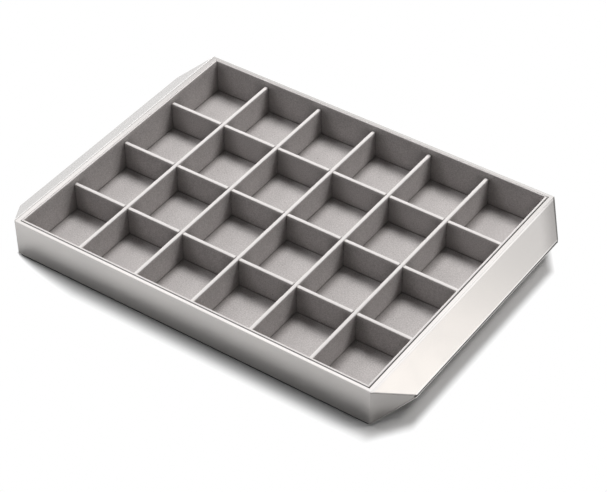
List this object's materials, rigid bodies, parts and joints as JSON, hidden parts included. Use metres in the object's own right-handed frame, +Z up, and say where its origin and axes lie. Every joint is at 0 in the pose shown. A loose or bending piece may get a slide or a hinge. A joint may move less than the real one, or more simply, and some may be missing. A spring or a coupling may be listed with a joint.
{
  "type": "jewelry display tray",
  "caption": "Low rectangular jewelry tray: folded satin steel shell with slanted handle wings, and a lift-out suede liner with a half-lapped divider grid.",
  "frame": {"origin": "middle of the footprint, on the surface that the tray stands on", "axes": "+X along the tray towards the right wing, +Y towards the back, +Z up"},
  "size_m": [0.346, 0.2416, 0.0322],
  "materials": {
    "steel": "satin stainless steel with a very fine grain and softly rounded folds",
    "suede": "warm grey microfibre suede, short matte nap",
    "card": "dense grey bookbinder's board",
    "foam_pad": "matte black foam rubber sheet"
  },
  "bodies": {
    "tray_shell": {"front_panel": "steel", "back_panel": "steel", "left_wing": "steel", "right_wing": "steel", "left_wing_underside": "steel", "right_wing_underside": "steel", "front_left_cheek": "steel", "front_right_cheek": "steel", "back_left_cheek": "steel", "back_right_cheek": "steel", "base_plate": "steel", "left_inner_wall": "steel", "right_inner_wall": "steel", "base_pad": "foam_pad"},
    "liner": {"liner_floor_card": "card", "liner_floor_suede": "suede", "liner_front_card": "card", "liner_front_suede": "suede", "liner_right_card": "card", "liner_right_suede": "suede", "liner_back_card": "card", "liner_back_suede": "suede", "liner_left_card": "card", "liner_left_suede": "suede"},
    "long_dividers": {"long_divider_1_board": "card", "long_divider_1_suede": "suede", "long_divider_2_board": "card", "long_divider_2_suede": "suede", "long_divider_3_board": "card", "long_divider_3_suede": "suede"},
    "cross_divider_1": {"cross_divider_1_board": "card", "cross_divider_1_suede": "suede"},
    "cross_divider_2": {"cross_divider_2_board": "card", "cross_divider_2_suede": "suede"},
    "cross_divider_3": {"cross_divider_3_board": "card", "cross_divider_3_suede": "suede"},
    "cross_divider_4": {"cross_divider_4_board": "card", "cross_divider_4_suede": "suede"},
    "cross_divider_5": {"cross_divider_5_board": "card", "cross_divider_5_suede": "suede"}
  },
  "joints": [
    {"name": "liner_lift", "type": "slide", "parent": "tray_shell", "child": "liner", "axis": [0, 0, 1], "range_m": [0, 0.06]},
    {"name": "divider_grid_lift", "type": "slide", "parent": "liner", "child": "long_dividers", "axis": [0, 0, 1], "range_m": [0, 0.05]},
    {"name": "cross_divider_1_lift", "type": "slide", "parent": "long_dividers", "child": "cross_divider_1", "axis": [0, 0, 1], "range_m": [0, 0.035]},
    {"name": "cross_divider_2_lift", "type": "slide", "parent": "long_dividers", "child": "cross_divider_2", "axis": [0, 0, 1], "range_m": [0, 0.035]},
    {"name": "cross_divider_3_lift", "type": "slide", "parent": "long_dividers", "child": "cross_divider_3", "axis": [0, 0, 1], "range_m": [0, 0.035]},
    {"name": "cross_divider_4_lift", "type": "slide", "parent": "long_dividers", "child": "cross_divider_4", "axis": [0, 0, 1], "range_m": [0, 0.035]},
    {"name": "cross_divider_5_lift", "type": "slide", "parent": "long_dividers", "child": "cross_divider_5", "axis": [0, 0, 1], "range_m": [0, 0.035]}
  ]
}
